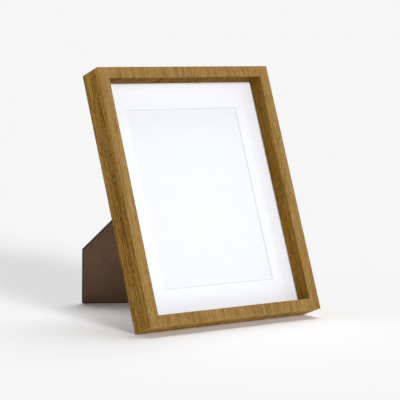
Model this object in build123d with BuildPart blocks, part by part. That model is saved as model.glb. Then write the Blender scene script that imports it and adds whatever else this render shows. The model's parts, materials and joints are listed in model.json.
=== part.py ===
from build123d import *
import os
from math import atan2, cos, degrees, hypot, radians, sin, tan

# Easel back photo frame: a deep mitred wooden frame that leans back on a diagonal easel leg.
# Millimetres. X is to the right seen from the front, Y to the back, Z up from the table.

# Picture pack, from the front: glazing, window mat, insert sheet and backing board
pack_width = 203.0
pack_height = 254.0
glazing_thickness = 2.0
mat_thickness = 1.0
insert_thickness = 0.5
board_thickness = 2.5
window_width = 141.0
window_height = 189.0
window_bevel_angle = 45.0

# Moulding of the rails
face_width = 12.0
lip_width = 5.0
front_recess = 18.5
edge_round = 0.6
pack_clearance = 1.5

# Easel leg, in its own outline and as it lies shut on the board
leg_turn = 45.0
leg_open = 46.0
leg_thickness = 2.4
leg_gap = 0.3
leg_top_width = 52.0
leg_top_gap = 0.6
leg_corner = 2.0
leg_bevel = 1.5
foot_length = 51.5
side_length = 64.0
foot_inset_side = 4.4
foot_inset_bottom = 5.9

# Hinge of the leg
hinge_inset_side = 22.2
hinge_inset_top = 49.4
hinge_width = 30.0
leaf_thickness = 0.7
leaf_length = 12.0
leg_leaf_length = 20.0
leaf_corner = 2.0
knuckle_width = 11.0
knuckle_gap = 0.3
knuckle_relief = 0.5
pin_clearance = 0.05
pin_head_length = 0.6
pin_head_bevel = 0.2
pin_head_lap = 0.4
seam_width = 0.25
lug_reach = 4.0
lug_gap = 0.05

# Rivets
rivet_radius = 1.2
rivet_head_radius = 2.5
rivet_head_height = 0.8
rivet_crown_radius = 1.5
rivet_pitch = 21.0
rivet_edge = 4.5
fold_margin = 0.3

# Swivel clips that lock the board into the kerf of the rails
clip_thickness = 0.8
clip_gap = 0.1
clip_pivot_radius = 4.0
clip_tip_radius = 2.6
clip_inset = 9.0
clip_grip = 1.8
clip_hole_clearance = 0.08
clip_tail_length = 6.6
clip_tail_width = 5.0
clip_tab_height = 1.6
kerf_depth = 2.6
kerf_clearance = 0.3
left_clip_from_bottom = 104.0
left_clip_from_top = 50.0
right_clip_from_hanger = 13.0
right_clip_spacing = 55.0
top_clip_from_left = 50.0
bottom_clip_from_right = 70.0

# Sawtooth hangers
hanger_length = 42.0
hanger_width = 8.0
hanger_thickness = 0.8
hanger_foot = 8.0
hanger_ramp = 2.5
hanger_lift = 1.6
hanger_inset = 16.0
tooth_pitch = 2.6
tooth_depth = 2.0
tooth_count = 7

# V-nails of the mitres
nail_thickness = 0.6
nail_arm = 4.5
nail_spread = 60.0
nail_depth = 8.0
nail_inset = 4.4

# Sizes that follow from the ones above
pin_radius = (leg_gap + leg_thickness - leaf_thickness) / 2
knuckle_radius = pin_radius + leaf_thickness
knuckle_reach = knuckle_radius + knuckle_relief
back_recess = leg_gap + leg_thickness + leaf_thickness + rivet_head_height + fold_margin
wall_width = face_width - lip_width
insert_level = back_recess + board_thickness
mat_level = insert_level + insert_thickness
glazing_level = mat_level + mat_thickness
lip_level = glazing_level + glazing_thickness
frame_depth = lip_level + front_recess
opening_width = pack_width + 2 * pack_clearance
opening_height = pack_height + 2 * pack_clearance
frame_width = opening_width + 2 * wall_width
frame_height = opening_height + 2 * wall_width
kerf_top = back_recess - clip_gap + kerf_clearance
kerf_bottom = back_recess - clip_gap - clip_thickness - kerf_clearance

# Place of the hinge and of the shut foot corner, from the centre of the frame
hinge_x = pack_width / 2 - hinge_inset_side
hinge_y = pack_height / 2 - hinge_inset_top
foot_x = foot_inset_side - opening_width / 2
foot_y = foot_inset_bottom - opening_height / 2

# The leg runs along its own two directions: across, along the hinge, and down, to the foot
turn = radians(leg_turn)
opened = radians(leg_open)
across = (cos(turn), -sin(turn))
down = (-sin(turn), -cos(turn))
foot_across = (foot_x - hinge_x) * across[0] + (foot_y - hinge_y) * across[1]
foot_down = (foot_x - hinge_x) * down[0] + (foot_y - hinge_y) * down[1]
inner_face = leg_gap - knuckle_radius
outer_face = inner_face + leg_thickness
foot_level = inner_face + leg_bevel


def height_of(pin_offset, leg_offset, level):
    """Distance of a point on the open leg up the back of the frame, from its bottom edge."""
    along = pin_offset * across[1] + down[1] * (leg_offset * cos(opened) - level * sin(opened))
    return frame_height / 2 + hinge_y + along


def reach_of(leg_offset, level):
    """Distance of a point on the open leg behind the back of the frame."""
    return knuckle_radius - back_recess + leg_offset * sin(opened) + level * cos(opened)


# The frame leans back until the foot of the open leg meets the table
tilt = atan2(height_of(foot_across, foot_down, foot_level), reach_of(foot_down, foot_level))
foot_slope = (cos(turn) * cos(opened) + sin(opened) * tan(tilt)) / sin(turn)
foot_norm = hypot(foot_slope, 1)

# The overall box, from the front edge to the round of the foot corner, is centred front to back
round_across = foot_across + leg_corner * (foot_slope - 1) / foot_norm
round_down = foot_down - leg_corner * (foot_slope + 1) / foot_norm
round_height = height_of(round_across, round_down, outer_face)
round_reach = reach_of(round_down, outer_face)
back_across = across[1] * sin(tilt)
back_down = down[1] * cos(opened) * sin(tilt) + sin(opened) * cos(tilt)
front_y = edge_round * (cos(tilt) + sin(tilt) - 1) - frame_depth * cos(tilt)
rear_y = round_reach * cos(tilt) + round_height * sin(tilt) + leg_corner * hypot(back_across, back_down)
edge_y = -(front_y + rear_y) / 2

# Middle of the frame's back, with x to the right, y up the frame and z to the front
middle = Plane(
    origin=(0, edge_y + frame_height / 2 * sin(tilt), frame_height / 2 * cos(tilt)),
    x_dir=(1, 0, 0),
    z_dir=(0, -cos(tilt), sin(tilt)),
)
right = middle.x_dir
up = middle.y_dir
back = -middle.z_dir

# Hinge planes, with x along the pin, y down the leg and z away from the board
pin_dir = right * across[0] + up * across[1]
shut_dir = right * down[0] + up * down[1]
pin_point = middle.from_local_coords((hinge_x, hinge_y, back_recess - knuckle_radius))
board_hinge = Plane(origin=pin_point, x_dir=pin_dir, z_dir=back)
leg_hinge = Plane(origin=pin_point, x_dir=pin_dir, z_dir=back * cos(opened) - shut_dir * sin(opened))


def side_of(hinge, offset):
    """Plane across the pin, with x down the leg and y away from the board."""
    origin = hinge.from_local_coords((offset, 0, 0))
    return Plane(origin=origin, x_dir=hinge.y_dir, z_dir=hinge.x_dir)


def on_frame(pin_offset, leg_offset):
    """Place on the frame's back of a point given along the pin and down the shut leg."""
    return (
        hinge_x + pin_offset * across[0] + leg_offset * down[0],
        hinge_y + pin_offset * across[1] + leg_offset * down[1],
    )


def save(builder, name):
    """Label a finished piece and write it."""
    builder.part.label = name
    export_step(builder.part, f"parts/{name}.step")


os.makedirs("parts", exist_ok=True)

# V-nails, one across each mitre, flush with the back of the frame
corners = [
    (-frame_width / 2, -frame_height / 2, 45),
    (frame_width / 2, -frame_height / 2, 135),
    (frame_width / 2, frame_height / 2, 225),
    (-frame_width / 2, frame_height / 2, 315),
]
with BuildPart() as corner_v_nails:
    with BuildSketch(middle):
        for corner_x, corner_y, toward_middle in corners:
            for side in (-1, 1):
                arm_turn = toward_middle + side * nail_spread
                apex = nail_inset * cos(radians(toward_middle)), nail_inset * sin(radians(toward_middle))
                arm_place = Location((corner_x + apex[0], corner_y + apex[1], 0), (0, 0, arm_turn))
                with Locations(arm_place):
                    Rectangle(nail_arm, nail_thickness, align=(Align.MIN, Align.CENTER))
    extrude(amount=nail_depth)
save(corner_v_nails, "corner_v_nails")

# Rails, with mitred ends, a rabbet for the picture pack and a kerf for the clips
rails = {
    "rail_left": (-right, frame_width, frame_height),
    "rail_right": (right, frame_width, frame_height),
    "rail_top": (up, frame_height, frame_width),
    "rail_bottom": (-up, frame_height, frame_width),
}
for rail_name, (outward, span, rail_length) in rails.items():
    rail_origin = middle.origin + outward * (span / 2)
    rail_plane = Plane(origin=rail_origin, x_dir=-outward, z_dir=outward.cross(back))
    with BuildPart() as rail:
        with BuildSketch(rail_plane):
            with BuildLine():
                Polyline(
                    (0, 0),
                    (wall_width, 0),
                    (wall_width, kerf_bottom),
                    (wall_width - kerf_depth, kerf_bottom),
                    (wall_width - kerf_depth, kerf_top),
                    (wall_width, kerf_top),
                    (wall_width, lip_level),
                    (face_width, lip_level),
                    (face_width, frame_depth),
                    (0, frame_depth),
                    close=True,
                )
            make_face()
            fillet(vertices().group_by(Axis.Y)[-1], radius=edge_round)
        extrude(amount=rail_length / 2, both=True)
        for end in (-1, 1):
            end_point = rail_plane.from_local_coords((0, 0, end * rail_length / 2))
            mitre = Plane(origin=end_point, z_dir=rail_plane.x_dir + rail_plane.z_dir * end)
            split(bisect_by=mitre, keep=Keep.BOTTOM)
        add(corner_v_nails.part, mode=Mode.SUBTRACT)
    save(rail, rail_name)

# Glazing, against the back of the lip
with BuildPart() as glazing:
    with BuildSketch(middle.offset(glazing_level)):
        Rectangle(pack_width, pack_height)
    extrude(amount=glazing_thickness)
save(glazing, "glazing")

# Mat, with its window cut on a bevel that opens to the front
with BuildPart() as mat_board:
    with BuildSketch(middle.offset(mat_level)):
        Rectangle(pack_width, pack_height)
    extrude(amount=mat_thickness)
    with BuildSketch(middle.offset(mat_level)):
        Rectangle(window_width, window_height)
    extrude(amount=mat_thickness, taper=-window_bevel_angle, mode=Mode.SUBTRACT)
save(mat_board, "mat_board")

# Blank insert sheet behind the mat
with BuildPart() as insert_sheet:
    with BuildSketch(middle.offset(insert_level)):
        Rectangle(pack_width, pack_height)
    extrude(amount=insert_thickness)
save(insert_sheet, "insert_sheet")

# Rivet places on the board: clips, board leaf of the hinge, hangers
side_pivot = pack_width / 2 - clip_inset
end_pivot = pack_height / 2 - clip_inset
right_pivot = -hanger_length / 2 - right_clip_from_hanger
clips = [
    (-right, (-side_pivot, left_clip_from_bottom - pack_height / 2)),
    (-right, (-side_pivot, pack_height / 2 - left_clip_from_top)),
    (right, (side_pivot, right_pivot - right_clip_spacing)),
    (right, (side_pivot, right_pivot)),
    (up, (top_clip_from_left - pack_width / 2, end_pivot)),
    (-up, (pack_width / 2 - bottom_clip_from_right, -end_pivot)),
]
clip_places = [place for outward, place in clips]
board_leaf_rivets = [(side * rivet_pitch / 2, rivet_edge - leaf_length) for side in (-1, 1)]
leg_leaf_rivets = [(side * rivet_pitch / 2, leg_leaf_length - rivet_edge) for side in (-1, 1)]
hanger_reach = (hanger_length - hanger_foot) / 2
hangers = {
    "hanger_upright": (-right, (0, pack_height / 2 - hanger_inset)),
    "hanger_sideways": (up, (pack_width / 2 - hanger_inset, 0)),
}
hanger_places = [(x + end * hanger_reach, y) for x, y in [hangers["hanger_upright"][1]] for end in (-1, 1)]
hanger_places += [(x, y + end * hanger_reach) for x, y in [hangers["hanger_sideways"][1]] for end in (-1, 1)]

# Backing board, drilled for its rivets
with BuildPart() as backing_board:
    with BuildSketch(middle.offset(back_recess)):
        Rectangle(pack_width, pack_height)
        with Locations(*clip_places, *hanger_places, *[on_frame(*place) for place in board_leaf_rivets]):
            Circle(rivet_radius, mode=Mode.SUBTRACT)
    extrude(amount=board_thickness)
save(backing_board, "backing_board")


def rivets(plane, places, shank_length, name):
    """Group of flat-crowned rivets, with the heads standing on the plane."""
    above = (Align.CENTER, Align.CENTER, Align.MIN)
    below = (Align.CENTER, Align.CENTER, Align.MAX)
    with BuildPart(plane) as group:
        with Locations(*[(x, y, 0) for x, y in places]):
            Cone(rivet_head_radius, rivet_crown_radius, rivet_head_height, align=above)
            Cylinder(rivet_radius, shank_length, align=below)
    save(group, name)


def facing_back(level):
    """Plane on the frame's back that looks to the rear, with x to the left and y up the frame."""
    return Plane(origin=middle.from_local_coords((0, 0, level)), x_dir=-right, z_dir=back)


def mirrored(places):
    """The same places on a plane that looks to the rear."""
    return [(-x, y) for x, y in places]


clip_stack = 2 * clip_gap + clip_thickness
rivets(
    facing_back(back_recess - clip_stack),
    mirrored(clip_places),
    clip_stack + board_thickness,
    "clip_rivets",
)
rivets(
    facing_back(back_recess - hanger_thickness),
    mirrored(hanger_places),
    hanger_thickness + board_thickness,
    "hanger_rivets",
)
rivets(
    board_hinge.offset(-pin_radius),
    board_leaf_rivets,
    leaf_thickness + board_thickness,
    "hinge_rivets_board",
)
rivets(
    leg_hinge.offset(knuckle_radius),
    leg_leaf_rivets,
    leaf_thickness + leg_thickness,
    "hinge_rivets_leg",
)

# Swivel clips, locked, with their tips in the kerf and a turned-up tab to push
clip_reach = clip_inset + pack_clearance + clip_grip
for number, (outward, place) in enumerate(clips, start=1):
    pivot = middle.from_local_coords((*place, back_recess - clip_gap))
    clip_plane = Plane(origin=pivot, x_dir=outward, z_dir=back)
    with BuildPart() as clip:
        with BuildSketch(clip_plane):
            with BuildSketch(mode=Mode.PRIVATE) as ends:
                Circle(clip_pivot_radius)
                with Locations((clip_reach - clip_tip_radius, 0)):
                    Circle(clip_tip_radius)
            make_hull(ends.edges())
            Rectangle(clip_tail_length, clip_tail_width, align=(Align.MAX, Align.CENTER))
            Circle(rivet_radius + clip_hole_clearance, mode=Mode.SUBTRACT)
        extrude(amount=clip_thickness)
        with BuildSketch(clip_plane.offset(clip_thickness)):
            with Locations((-clip_tail_length, 0)):
                Rectangle(clip_thickness, clip_tail_width, align=(Align.MIN, Align.CENTER))
        extrude(amount=clip_tab_height)
    save(clip, f"turn_clip_{number}")

# Sawtooth hangers, riveted at both ends and lifted between them
for hanger_name, (strip_dir, (hanger_x, hanger_y)) in hangers.items():
    seat = middle.from_local_coords((hanger_x, hanger_y, back_recess))
    strip = Plane(origin=seat, x_dir=strip_dir, z_dir=back)
    profile_plane = Plane(origin=seat, x_dir=strip_dir, z_dir=-strip.y_dir)
    ramp_end = hanger_length / 2 - hanger_foot
    ramp_start = ramp_end - hanger_ramp
    with BuildPart() as hanger:
        with BuildSketch(profile_plane):
            with BuildLine():
                Polyline(
                    (0, hanger_lift),
                    (ramp_start, hanger_lift),
                    (ramp_end, 0),
                    (hanger_length / 2, 0),
                    (hanger_length / 2, hanger_thickness),
                    (ramp_end, hanger_thickness),
                    (ramp_start, hanger_lift + hanger_thickness),
                    (0, hanger_lift + hanger_thickness),
                )
                mirror(about=Plane.YZ)
            make_face()
        extrude(amount=hanger_width / 2, both=True)
        with BuildSketch(strip):
            with Locations((0, -hanger_width / 2)):
                with GridLocations(tooth_pitch, 1, tooth_count, 1):
                    Polygon((-tooth_pitch / 2, 0), (tooth_pitch / 2, 0), (0, tooth_depth), align=None)
            with Locations((-hanger_reach, 0), (hanger_reach, 0)):
                Circle(rivet_radius)
        extrude(amount=hanger_lift + hanger_thickness, mode=Mode.SUBTRACT)
    save(hanger, hanger_name)

# Board leaf of the hinge, with a knuckle rolled round each end of the pin
with BuildPart() as hinge_leaf_board:
    with BuildSketch(board_hinge.offset(-knuckle_radius)):
        Rectangle(hinge_width, leaf_length, align=(Align.CENTER, Align.MAX))
        fillet(vertices().group_by(Axis.Y)[0], radius=leaf_corner)
        with Locations(*board_leaf_rivets):
            Circle(rivet_radius, mode=Mode.SUBTRACT)
    extrude(amount=leaf_thickness)
    with BuildSketch(side_of(board_hinge, -hinge_width / 2)):
        Circle(knuckle_radius)
    extrude(amount=hinge_width)
    with BuildSketch(board_hinge.offset(-knuckle_radius)):
        Rectangle(knuckle_width + 2 * knuckle_gap, 2 * knuckle_reach)
    extrude(amount=2 * knuckle_radius, mode=Mode.SUBTRACT)
    with BuildSketch(side_of(board_hinge, -hinge_width / 2)):
        Circle(pin_radius)
        with Locations((0, -pin_radius)):
            Rectangle(knuckle_radius, seam_width, align=(Align.MAX, Align.MIN))
    extrude(amount=hinge_width, mode=Mode.SUBTRACT)
save(hinge_leaf_board, "hinge_leaf_board")

# Leg leaf of the hinge, with the rolled middle knuckle and the lug that stops the open leg
with BuildPart() as hinge_leaf_leg:
    with BuildSketch(leg_hinge.offset(pin_radius)):
        with Locations((0, leg_leaf_length)):
            Rectangle(hinge_width, leg_leaf_length - knuckle_reach, align=(Align.CENTER, Align.MAX))
        fillet(vertices().group_by(Axis.Y)[-1], radius=leaf_corner)
        Rectangle(knuckle_width, leg_leaf_length / 2, align=(Align.CENTER, Align.MIN))
        with Locations(*leg_leaf_rivets):
            Circle(rivet_radius, mode=Mode.SUBTRACT)
    extrude(amount=leaf_thickness)
    with BuildSketch(side_of(board_hinge, -knuckle_width / 2)):
        Circle(knuckle_radius)
        with Locations((0, lug_gap - pin_radius)):
            Rectangle(lug_reach, leaf_thickness, align=(Align.MAX, Align.MIN))
    extrude(amount=knuckle_width)
    with BuildSketch(side_of(leg_hinge, -knuckle_width / 2)):
        Circle(pin_radius + pin_clearance)
        with Locations((0, pin_radius)):
            Rectangle(knuckle_radius, seam_width, align=(Align.MIN, Align.MAX))
    extrude(amount=knuckle_width, mode=Mode.SUBTRACT)
save(hinge_leaf_leg, "hinge_leaf_leg")

# Hinge pin, headed at both ends
with BuildPart() as hinge_pin:
    with BuildSketch(side_of(board_hinge, -hinge_width / 2)):
        Circle(pin_radius)
    extrude(amount=hinge_width)
    for end in (-1, 1):
        with BuildSketch(side_of(board_hinge, end * hinge_width / 2)):
            Circle(pin_radius + pin_head_lap)
        extrude(amount=end * pin_head_length)
    head_rims = edges().filter_by(GeomType.CIRCLE).group_by(Axis(pin_point, pin_dir))
    chamfer(head_rims[0] + head_rims[-1], length=pin_head_bevel)
save(hinge_pin, "hinge_pin")

# Easel leg, open, bevelled to its inner face, with a square foot corner: the frame stands upright on
# one of its edges and sideways on the other
foot_corner = (foot_across, foot_down)
foot_end = (
    foot_across + foot_length * foot_slope / foot_norm,
    foot_down - foot_length / foot_norm,
)
side_end = (
    foot_across - side_length / foot_norm,
    foot_down - side_length * foot_slope / foot_norm,
)
leg_top = knuckle_radius + leg_top_gap
with BuildPart() as easel_leg:
    with BuildSketch(leg_hinge.offset(inner_face)):
        with BuildLine():
            Polyline(
                (-leg_top_width / 2, leg_top),
                (leg_top_width / 2, leg_top),
                foot_end,
                foot_corner,
                side_end,
                close=True,
            )
        make_face()
        fillet(vertices(), radius=leg_corner)
        with Locations(*leg_leaf_rivets):
            Circle(rivet_radius, mode=Mode.SUBTRACT)
    extrude(amount=leg_thickness)
    inner = faces().sort_by(Axis(pin_point, leg_hinge.z_dir))[0]
    chamfer(inner.outer_wire().edges(), length=leg_bevel)
save(easel_leg, "easel_leg")

print(f"frame {frame_width:.2f} x {frame_height:.2f} x {frame_depth:.2f}, tilt {degrees(tilt):.3f} degrees")
print(f"pin at {tuple(round(value, 4) for value in pin_point)} along {tuple(round(v, 6) for v in pin_dir)}")
print(f"back edge at y {edge_y:.4f}, foot corner {foot_across:.3f} across and {foot_down:.3f} down the leg")
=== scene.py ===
import json
from math import asin, pi, radians

import bpy
from mathutils import Matrix, Vector


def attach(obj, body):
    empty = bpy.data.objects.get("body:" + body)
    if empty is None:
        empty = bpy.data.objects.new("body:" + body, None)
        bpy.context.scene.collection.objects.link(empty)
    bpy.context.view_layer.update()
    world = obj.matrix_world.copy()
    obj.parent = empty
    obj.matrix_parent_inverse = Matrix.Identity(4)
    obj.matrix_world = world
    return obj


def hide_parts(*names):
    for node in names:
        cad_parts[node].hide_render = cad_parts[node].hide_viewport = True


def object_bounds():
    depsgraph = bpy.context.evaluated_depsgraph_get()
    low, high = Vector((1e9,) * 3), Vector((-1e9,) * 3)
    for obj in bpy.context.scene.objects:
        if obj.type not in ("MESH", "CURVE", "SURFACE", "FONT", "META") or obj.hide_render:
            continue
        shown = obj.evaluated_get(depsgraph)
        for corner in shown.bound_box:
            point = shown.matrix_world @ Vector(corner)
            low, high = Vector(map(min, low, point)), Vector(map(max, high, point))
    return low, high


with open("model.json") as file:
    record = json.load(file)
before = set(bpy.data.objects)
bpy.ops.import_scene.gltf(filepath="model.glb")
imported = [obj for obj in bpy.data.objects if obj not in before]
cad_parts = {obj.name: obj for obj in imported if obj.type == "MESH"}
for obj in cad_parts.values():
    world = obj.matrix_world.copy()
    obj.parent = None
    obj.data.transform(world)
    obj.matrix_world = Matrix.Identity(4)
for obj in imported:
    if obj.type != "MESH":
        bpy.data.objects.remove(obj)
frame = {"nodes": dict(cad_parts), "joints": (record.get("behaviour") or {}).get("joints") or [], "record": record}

nodes = frame["nodes"]
cad_low, cad_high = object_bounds()
mm = 0.001
rightward = Vector((1, 0, 0))

# The lean of the frame, read from the plane of its back
wall_face = next(mount for mount in frame["record"]["mounts"] if mount["name"] == "wall_face")
wall_point = Vector(wall_face["pos_m"])
back = Vector(wall_face["axis"])
lean = asin(-back.z)
upward = rightward.cross(back)


def reach(name, direction):
    """Lowest and highest place of a node along a direction, counted from the point of the wall face."""
    places = [(corner.co - wall_point).dot(direction) for corner in nodes[name].data.vertices]
    return min(places), max(places)


# The outer edges of the frame, and the middles of its back and of its front
half_width = reach("rail_right", rightward)[1]
top_edge = reach("rail_top", upward)[1]
bottom_edge = reach("rail_bottom", upward)[0]
half_height = (top_edge - bottom_edge) / 2
front_level = reach("rail_left", back)[0]
panel_middle = wall_point + upward * ((top_edge + bottom_edge) / 2)
face_middle = panel_middle + back * front_level

# The plane of the open leg: along the hinge pin, down the leg and through its thickness
leg_hinge = next(joint for joint in frame["joints"] if joint["name"] == "leg_hinge")
pin_point = Vector(leg_hinge["pos_m"])
pin_way = Vector(leg_hinge["axis"]).normalized()
foot = min((corner.co for corner in nodes["easel_leg"].data.vertices), key=lambda place: place.z)
leg_face = pin_way.cross(foot - pin_point).normalized()

# Sockets of a Mix node that take its share and its two colours, and the one that gives the result
mix_share = 0
mix_first = 6
mix_second = 7
mix_result = 2


def tone(red, green, blue):
    """A colour written as 0 to 255 for each part, as a shader takes it."""
    parts = [part / 255 for part in (red, green, blue)]
    return [part / 12.92 if part < 0.04045 else ((part + 0.055) / 1.055) ** 2.4 for part in parts] + [1]


def even(size):
    """The same size in all three directions."""
    return (size, size, size)


class Wire:
    """One output of a shader node, which sums and products turn into Math nodes."""

    def __init__(self, finish, socket):
        self.finish = finish
        self.socket = socket

    def maths(self, operation, *terms):
        return self.finish.node("ShaderNodeMath", {"operation": operation}, dict(enumerate(terms)))

    def __add__(self, other):
        return self.maths("ADD", self, other)

    def __radd__(self, other):
        return self.maths("ADD", other, self)

    def __sub__(self, other):
        return self.maths("SUBTRACT", self, other)

    def __rsub__(self, other):
        return self.maths("SUBTRACT", other, self)

    def __mul__(self, other):
        return self.maths("MULTIPLY", self, other)

    def __rmul__(self, other):
        return self.maths("MULTIPLY", other, self)

    def __abs__(self):
        return self.maths("ABSOLUTE", self)


class Finish:
    """The nodes of one finish, of a material or of the room's light."""

    def __init__(self, tree):
        self.tree = tree
        self.tree.nodes.clear()

    def node(self, kind, settings=None, values=None, output=0):
        """Adds a node: its settings first, then the values or wires of its sockets."""
        made = self.tree.nodes.new(kind)
        for name, setting in (settings or {}).items():
            setattr(made, name, setting)
        for name, value in (values or {}).items():
            if isinstance(value, Wire):
                self.tree.links.new(value.socket, made.inputs[name])
            else:
                made.inputs[name].default_value = value
        return Wire(self, made.outputs[output])

    def spot(self, output="Object"):
        return self.node("ShaderNodeTexCoord", output=output)

    def parts(self, place):
        """The three numbers of a place."""
        split = self.node("ShaderNodeSeparateXYZ", values={0: place}).socket.node
        return [Wire(self, socket) for socket in split.outputs]

    def turned(self, place, middle, turn, size):
        """A place seen from a middle point, turned back and counted in steps of a size."""
        values = {"Vector": place, "Location": middle, "Rotation": turn, "Scale": size}
        return self.node("ShaderNodeMapping", {"vector_type": "TEXTURE"}, values)

    def noise(self, place, size, middle=(0, 0, 0), detail=2.0, rough=0.5):
        """Soft noise in spots of a size, laid out from a middle point."""
        steps = self.turned(place, middle, (0, 0, 0), size)
        values = {"Vector": steps, "Scale": 1.0, "Detail": detail, "Roughness": rough}
        return self.node("ShaderNodeTexNoise", values=values)

    def step(self, value, low, high):
        """0 up to the low value, 1 from the high value, and a soft step between them."""
        settings = {"interpolation_type": "SMOOTHSTEP", "clamp": True}
        values = {"Value": value, "From Min": low, "From Max": high, "To Min": 0.0, "To Max": 1.0}
        return self.node("ShaderNodeMapRange", settings, values)

    def blend(self, first, second, share):
        """A share of the second colour over the first."""
        settings = {"data_type": "RGBA", "clamp_factor": True}
        values = {mix_share: share, mix_first: first, mix_second: second}
        return self.node("ShaderNodeMix", settings, values, mix_result)

    def between(self, tones, share):
        """From the first to the second of two colours, written as 0 to 255."""
        return self.blend(tone(*tones[0]), tone(*tones[1]), share)

    def shade(self, colour, share, dark):
        """A colour multiplied by a darker one, by a share."""
        settings = {"data_type": "RGBA", "blend_type": "MULTIPLY", "clamp_factor": True}
        values = {mix_share: share, mix_first: colour, mix_second: dark}
        return self.node("ShaderNodeMix", settings, values, mix_result)

    def bumps(self, height, depth):
        return self.node("ShaderNodeBump", values={"Height": height, "Distance": depth, "Strength": 1.0})

    def surface(self, **values):
        named = {name.replace("_", " "): value for name, value in values.items()}
        return self.node("ShaderNodeBsdfPrincipled", values=named)

    def either(self, first, second, share):
        """A share of the second shader over the first."""
        return self.node("ShaderNodeMixShader", values={0: share, 1: first, 2: second})

    def done(self, shader, output="ShaderNodeOutputMaterial"):
        made = self.tree.nodes.new(output)
        self.tree.links.new(shader.socket, made.inputs["Surface"])


def new_material(name):
    material = bpy.data.materials.new(name)
    material.use_nodes = True
    return material, Finish(material.node_tree)


def dress(material, *names):
    """Gives a finish to every CAD node whose name starts with one of these."""
    for name, piece in nodes.items():
        if name.startswith(names):
            for place in piece.material_slots:
                place.material = material


# Tones that all four rails share, dark and light where there are two. The front tones are paler and greyer than
# the sides as painted sheen, and the underside tones are paler as painted light.
sheen_front_tones = ((125, 95, 52), (166, 135, 80))
rubbed_tone = (172, 139, 86)
# Paler underside tones: painted light
lit_under_tones = ((112, 84, 34), (234, 188, 98))
ruddy_tone = (255, 246, 238)
pore_tone = (200, 188, 170)
mitre_tone = (92, 70, 48)

# The pattern of the grain starts so far across and up, and by this share of a step before the front face
grain_across = 0.137
grain_up = 0.12
grain_before = 0.37


def oiled_wood(name, run, side_tones, shaded_inside_tones):
    """Wood with upright grain in a tone for each face: paler and greyer on the front than on the sides as painted
    sheen, paler underneath as painted light, and darkest inside as painted shade.

    The grain runs into the depth of the wood by so many times its width, and shorter underneath. The sides
    and the inside have a dark and a light tone each.
    """
    material, wood = new_material(name)
    panel = wood.turned(wood.spot(), face_middle, (-lean, 0, 0), even(1))
    across, depth, height = wood.parts(panel)
    from_side = half_width - abs(across)
    from_end = half_height - abs(height)
    under = wood.step(-1 * height, half_height - 1.5 * mm, half_height - 0.5 * mm)
    grown = wood.node("ShaderNodeCombineXYZ", values={0: across, 1: depth * (1 + 3 * under), 2: height})

    def grain(width, length, **noise):
        steps = (width, width * run, length)
        return wood.noise(grown, steps, (grain_across, -grain_before * steps[1], grain_up), **noise)

    def rim(low, high):
        """1 up to the low distance from the outer edges, and 0 from the high distance."""
        return 1 - wood.step(from_side, low, high) * wood.step(from_end, low, high)

    bands = grain(6.5 * mm, 330 * mm, detail=2.0)
    streaks = grain(2.1 * mm, 95 * mm, detail=3.0, rough=0.6)
    fibres = grain(0.85 * mm, 26 * mm, detail=3.0, rough=0.65)
    flecks = grain(0.7 * mm, 4.5 * mm, detail=2.0, rough=0.6)
    pores = wood.step(grain(0.45 * mm, 6 * mm, detail=1.0), 0.60, 0.70)
    ruddy = wood.step(grain(3.4 * mm, 70 * mm, detail=1.0), 0.42, 0.66)
    heart = wood.step(depth, 0.6 * mm, 2.5 * mm) * (1 - wood.step(depth, 6 * mm, 11 * mm))
    heart *= wood.step(height, -95 * mm, -30 * mm) * (1 - wood.step(height, 55 * mm, 100 * mm))
    figure = 0.18 * bands + 0.22 * streaks + 0.3 * fibres + 0.3 * flecks - 0.014 * heart
    figure = wood.step(figure, 0.38, 0.62)

    front = 1 - wood.step(depth, 0.1 * mm, 0.7 * mm)
    outside = rim(0.5 * mm, 1.5 * mm)
    rubbed = rim(0.2 * mm, 1.2 * mm)
    # Painted sheen: the front face is paler and greyer than the sides
    sheen_front_wood = wood.blend(wood.between(sheen_front_tones, figure), tone(*rubbed_tone), 0.4 * rubbed)
    # Painted light: the underside is paler than the sides
    side_wood = wood.blend(wood.between(side_tones, figure), wood.between(lit_under_tones, figure), under)
    # Painted shade: the inside walls of the recess are darker than the sides
    shaded_inner_wood = wood.between(shaded_inside_tones, figure)
    colour = wood.blend(wood.blend(shaded_inner_wood, side_wood, outside), sheen_front_wood, front)
    colour = wood.shade(colour, ruddy, tone(*ruddy_tone))
    colour = wood.shade(colour, pores, tone(*pore_tone))

    mitre = 1 - wood.step(abs(from_side - from_end), 0.05 * mm, 0.22 * mm)
    colour = wood.shade(colour, 0.55 * mitre, tone(*mitre_tone))

    relief = 0.6 * fibres - 0.5 * pores - 0.6 * mitre
    wood.done(
        wood.surface(
            Base_Color=colour,
            Roughness=0.66 - 0.16 * figure + 0.1 * pores,
            Specular_IOR_Level=0.04,
            Normal=wood.bumps(relief, 0.12 * mm),
        )
    )
    return material


def clear_glass():
    """Thin clear glass that lets the lamps through to the mat."""
    material, glass = new_material("clear_glass")
    pane = glass.surface(
        Base_Color=(1, 1, 1, 1), Roughness=0.0, IOR=1.3, Transmission_Weight=1.0, Specular_IOR_Level=0.5
    )
    open_way = glass.node("ShaderNodeBsdfTransparent")
    for ray in ("Is Diffuse Ray", "Is Shadow Ray"):
        pane = glass.either(pane, open_way, glass.node("ShaderNodeLightPath", output=ray))
    glass.done(pane)
    return material


def facing(finish, way):
    """1 where a surface faces along a direction, or against it, down to 0 where it is square to it."""
    values = {0: finish.spot("Normal"), 1: way}
    return abs(finish.node("ShaderNodeVectorMath", {"operation": "DOT_PRODUCT"}, values, "Value"))


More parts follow.
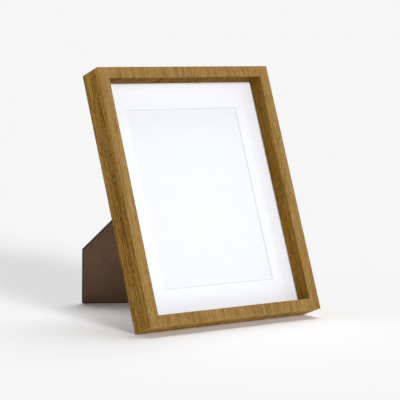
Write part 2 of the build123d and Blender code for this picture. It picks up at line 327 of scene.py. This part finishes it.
def white_board(name, base, cut_shade_tone, tooth):
    """Smooth white paper with a fine tooth and a hint of cloud in its pulp, greyer on its cut edges as painted
    shade.
    """
    material, paper = new_material(name)
    place = paper.spot()
    pulp = paper.noise(place, even(14 * mm), detail=3.0)
    nap = paper.noise(place, even(tooth))
    # Painted shade: the cut edges, square to the front, take the greyer tone
    cut = 1 - paper.step(facing(paper, back), 0.8, 0.95)
    colour = paper.between((base, cut_shade_tone), cut)
    colour = paper.shade(colour, paper.step(0.6 * pulp + 0.4 * nap, 0.35, 0.7), tone(253, 253, 253))
    paper.done(
        paper.surface(
            Base_Color=colour,
            Roughness=0.82 + 0.1 * nap,
            Specular_IOR_Level=0.2,
            Normal=paper.bumps(nap, 0.03 * mm),
        )
    )
    return material


# Tones of the brown paper, of its nap and of the black edges
paper_tones = ((120, 93, 71), (138, 110, 86))
nap_tone = (218, 212, 206)
edge_tone = (44, 39, 37)


def brown_board(name, face, middle):
    """Board covered with dark brown paper, its cut and bevelled edges painted black."""
    material, board = new_material(name)
    place = board.spot()
    cloud = board.noise(place, even(26 * mm), middle, detail=4.0)
    fleck = board.noise(place, (0.9 * mm, 0.9 * mm, 2.6 * mm), middle, detail=3.0)
    nap = board.noise(place, even(0.3 * mm), middle)
    edge = 1 - board.step(facing(board, face), 0.90, 0.97)
    colour = board.between(paper_tones, board.step(0.4 * cloud + 0.6 * fleck, 0.34, 0.66))
    colour = board.shade(colour, board.step(nap, 0.45, 0.75), tone(*nap_tone))
    colour = board.blend(colour, tone(*edge_tone), edge)
    board.done(
        board.surface(
            Base_Color=colour,
            Roughness=0.66 + 0.14 * nap - 0.12 * edge,
            Specular_IOR_Level=0.3,
            Normal=board.bumps(0.5 * fleck + 0.5 * nap, 0.05 * mm),
        )
    )
    return material


def brushed_metal(name, base, worn, marks):
    """Metal with fine brush marks, of a size in each direction, and a little dulled by handling."""
    material, plate = new_material(name)
    place = plate.spot()
    brushed = plate.noise(place, marks, detail=3.0, rough=0.6)
    smudge = plate.step(plate.noise(place, even(7 * mm), detail=3.0), 0.36, 0.68)
    plate.done(
        plate.surface(
            Base_Color=plate.between((base, worn), 0.55 * smudge + 0.35 * brushed),
            Metallic=1.0,
            Roughness=0.2 + 0.16 * brushed + 0.14 * smudge,
            Normal=plate.bumps(brushed, 0.012 * mm),
        )
    )
    return material


stile_sides = ((89, 58, 12), (194, 151, 70))
# The inside tones are darker than the sides: painted shade in the recess
stile_shaded_inside = ((91, 61, 11), (158, 117, 40))
dress(oiled_wood("stile_wood", 1.6, stile_sides, stile_shaded_inside), "rail_left", "rail_right")
rail_sides = ((104, 72, 22), (206, 162, 80))
# The inside tones are darker than the sides: painted shade in the recess
rail_shaded_inside = ((88, 57, 5), (148, 107, 26))
dress(oiled_wood("rail_wood", 12, rail_sides, rail_shaded_inside), "rail_top", "rail_bottom")
# The greyer second tone of each paper is painted shade on its cut edges
dress(white_board("white_mat", (245, 248, 254), (219, 222, 228), 0.35 * mm), "mat_board")
dress(white_board("white_paper", (239, 241, 245), (236, 238, 242), 0.2 * mm), "insert_sheet")
dress(brown_board("brown_board", back, panel_middle), "backing_board")
dress(brown_board("leg_board", leg_face, pin_point), "easel_leg")
nickel = brushed_metal("nickel_plate", (178, 175, 169), (116, 113, 108), (0.2 * mm, 0.2 * mm, 4 * mm))
dress(nickel, "hinge_leaf", "hinge_pin", "turn_clip")
rivet_nickel = brushed_metal("rivet_plate", (190, 187, 181), (132, 129, 124), even(0.3 * mm))
dress(rivet_nickel, "hinge_rivets", "clip_rivets", "hanger_rivets")
nail_steel = brushed_metal("nail_steel", (150, 150, 152), (96, 94, 92), (0.2 * mm, 0.2 * mm, 2 * mm))
dress(nail_steel, "corner_v_nails")
brass = brushed_metal("brass_plate", (196, 156, 88), (138, 102, 52), (4 * mm, 0.2 * mm, 0.2 * mm))
dress(brass, "hanger_upright", "hanger_sideways")

# Pane of glass with ground edges, a hair's breadth in front of the mat
mat_gap = 0.1 * mm
ground_edge = 0.25 * mm
glass_left, glass_right = reach("glazing", rightward)
glass_front, glass_back = reach("glazing", back)
glass_bottom, glass_top = reach("glazing", upward)
glass_back -= mat_gap
glass_middle = wall_point + rightward * ((glass_right + glass_left) / 2)
glass_middle += back * ((glass_back + glass_front) / 2)
glass_middle += upward * ((glass_top + glass_bottom) / 2)

bpy.ops.object.select_all(action="DESELECT")
bpy.ops.mesh.primitive_cube_add(
    size=1,
    location=glass_middle,
    rotation=(-lean, 0, 0),
    scale=(glass_right - glass_left, glass_back - glass_front, glass_top - glass_bottom),
)
pane = bpy.context.object
pane.name = "glass_pane"
bpy.ops.object.transform_apply(location=True, rotation=True, scale=True)
bpy.ops.object.mode_set(mode="EDIT")
bpy.ops.mesh.select_all(action="SELECT")
bpy.ops.mesh.bevel(offset=ground_edge, segments=1)
bpy.ops.object.mode_set(mode="OBJECT")
pane.data.materials.append(clear_glass())
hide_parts("glazing")
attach(pane, "frame")

# Rivets with domed heads, where the plain ones are
rivet_groups = {
    "clip_rivets": ("domed_clip_rivets", "frame", back),
    "hanger_rivets": ("domed_hanger_rivets", "frame", back),
    "hinge_rivets_board": ("domed_board_rivets", "frame", back),
    "hinge_rivets_leg": ("domed_leg_rivets", "leg", leg_face),
}
rivet_reach = 6 * mm
head_height = 0.8 * mm
shank_radius = 1.2 * mm
dome_segments = 24
dome_rings = 36
smooth_angle = 40


def rivet_places(node, out):
    """Foot of the shank, head radius and length of each rivet in a node, along the way its head points.

    Corners within rivet_reach of the first one found on a rivet belong to that rivet.
    """
    groups = []
    for corner in nodes[node].data.vertices:
        for group in groups:
            offset = corner.co - group[0]
            if (offset - out * offset.dot(out)).length < rivet_reach:
                group.append(corner.co)
                break
        else:
            groups.append([corner.co])
    places = []
    for group in groups:
        levels = [place.dot(out) for place in group]
        flat = [place - out * place.dot(out) for place in group]
        middle = sum(flat, Vector()) / len(flat)
        radius = max((place - middle).length for place in flat)
        places.append((middle + out * min(levels), radius, max(levels) - min(levels)))
    return places


def domed_rivet(radius, length):
    """One upright rivet: the cap of a ball, drawn in underneath to its shank."""
    ball = (radius**2 + head_height**2) / (2 * head_height)
    bpy.ops.object.select_all(action="DESELECT")
    bpy.ops.mesh.primitive_uv_sphere_add(
        segments=dome_segments, ring_count=dome_rings, radius=ball, location=(0, 0, length - ball)
    )
    rivet = bpy.context.object
    bpy.ops.object.transform_apply(location=True, rotation=True, scale=True)
    bpy.ops.object.mode_set(mode="EDIT")
    bpy.ops.mesh.select_all(action="SELECT")
    bpy.ops.mesh.bisect(
        plane_co=(0, 0, length - head_height), plane_no=(0, 0, 1), use_fill=True, clear_inner=True
    )
    bpy.ops.mesh.inset(thickness=radius - shank_radius)
    bpy.ops.mesh.extrude_region_move(TRANSFORM_OT_translate={"value": (0, 0, head_height - length)})
    bpy.ops.object.mode_set(mode="OBJECT")
    bpy.ops.object.shade_smooth_by_angle(angle=radians(smooth_angle))
    return rivet


for node, (name, body, out) in rivet_groups.items():
    feet, radii, lengths = zip(*rivet_places(node, out))
    rivets = [domed_rivet(radii[0], lengths[0])]
    rivets[0].rotation_euler = out.to_track_quat("Z", "Y").to_euler()
    while len(rivets) < len(feet):
        bpy.ops.object.duplicate()
        rivets.append(bpy.context.object)
    for rivet, foot_middle in zip(rivets, feet):
        rivet.location = foot_middle
        rivet.select_set(True)
    bpy.context.view_layer.objects.active = rivets[0]
    bpy.ops.object.join()
    bpy.ops.object.transform_apply(location=True, rotation=True, scale=True)
    rivets[0].name = name
    rivets[0].data.materials.append(rivet_nickel)
    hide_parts(node)
    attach(rivets[0], body)

# Soft studio light from the front and from above, with a little from the left: way, strength and spread
lamps = {
    "front_lamp": (Vector((-0.09, -0.94, 0.34)).normalized(), 2.15, 16),
    "top_lamp": (Vector((0.3, 0.2, 0.93)).normalized(), 2.0, 48),
    "side_lamp": (Vector((-1, 0.1, 0.2)).normalized(), 0.43, 40),
}
sky_strength = 0.12

bpy.ops.object.select_all(action="DESELECT")
for name, (way, strength, spread) in lamps.items():
    bpy.ops.object.light_add(type="SUN", location=way)
    lamp = bpy.context.object
    lamp.name = name
    lamp.rotation_euler = way.to_track_quat("Z", "Y").to_euler()
    lamp.data.energy = strength
    lamp.data.angle = radians(spread)
    # The glass would mirror the front lamp as a hard white disc
    mirrored = name != "front_lamp"
    lamp.visible_glossy = mirrored
    lamp.visible_transmission = mirrored


def seen_directly(finish):
    """1 for what the camera sees, also by a reflection or through glass."""
    rays = finish.node("ShaderNodeLightPath").socket.node
    camera, glossy, through = [
        Wire(finish, rays.outputs[name]) for name in ("Is Camera Ray", "Is Glossy Ray", "Is Transmission Ray")
    ]
    return finish.node(
        "ShaderNodeMath", {"operation": "ADD", "use_clamp": True}, {0: camera + glossy, 1: through}
    )


# A pale room, and a pale table that runs out of sight and looks as bright as the room
backdrop = 0.9216
table_paint = 0.9
table_size = 400

room = bpy.data.worlds.new("room")
room.use_nodes = True
bpy.context.scene.world = room
air = Finish(room.node_tree)
sky = air.node("ShaderNodeBackground", values={"Color": (1, 1, 1, 1), "Strength": sky_strength})
pale = air.node("ShaderNodeBackground", values={"Color": (*even(backdrop), 1), "Strength": 1.0})
air.done(air.either(sky, pale, seen_directly(air)), "ShaderNodeOutputWorld")

bpy.ops.mesh.primitive_plane_add(size=table_size, location=(0, 0, cad_low.z))
table = bpy.context.object
table.name = "table_top"
material, paint = new_material("table_top")
lit = table_paint * (sky_strength + sum(strength * way.z for way, strength, spread in lamps.values()) / pi)
matt = paint.node("ShaderNodeBsdfDiffuse", values={"Color": (*even(table_paint), 1)})
# The glow adds what the light on the table lacks of the backdrop
glow = paint.node("ShaderNodeEmission", values={"Color": (*even(backdrop - lit), 1), "Strength": 1.0})
glowing = paint.node("ShaderNodeAddShader", values={0: matt, 1: glow})
paint.done(paint.either(matt, glowing, seen_directly(paint)))
table.data.materials.append(material)

# The camera stands in front, to the left of the frame, with a long lens, and looks a little down
camera_place = (-1.08502, -1.484, 0.29092)
camera_turn = -37.0729
camera_dip = 5.2506
camera_roll = 0.3106
camera_lens = 156.032
film_width = 36
farthest_seen = 1000

bpy.ops.object.camera_add()
camera = bpy.context.object
camera.data.lens = camera_lens
camera.data.sensor_width = film_width
camera.data.clip_end = farthest_seen
camera.matrix_world = (
    Matrix.Translation(camera_place)
    @ Matrix.Rotation(radians(camera_turn), 4, "Z")
    @ Matrix.Rotation(radians(90 - camera_dip), 4, "X")
    @ Matrix.Rotation(radians(camera_roll), 4, "Z")
)
bpy.context.scene.camera = camera
bpy.context.scene.view_settings.view_transform = "Standard"
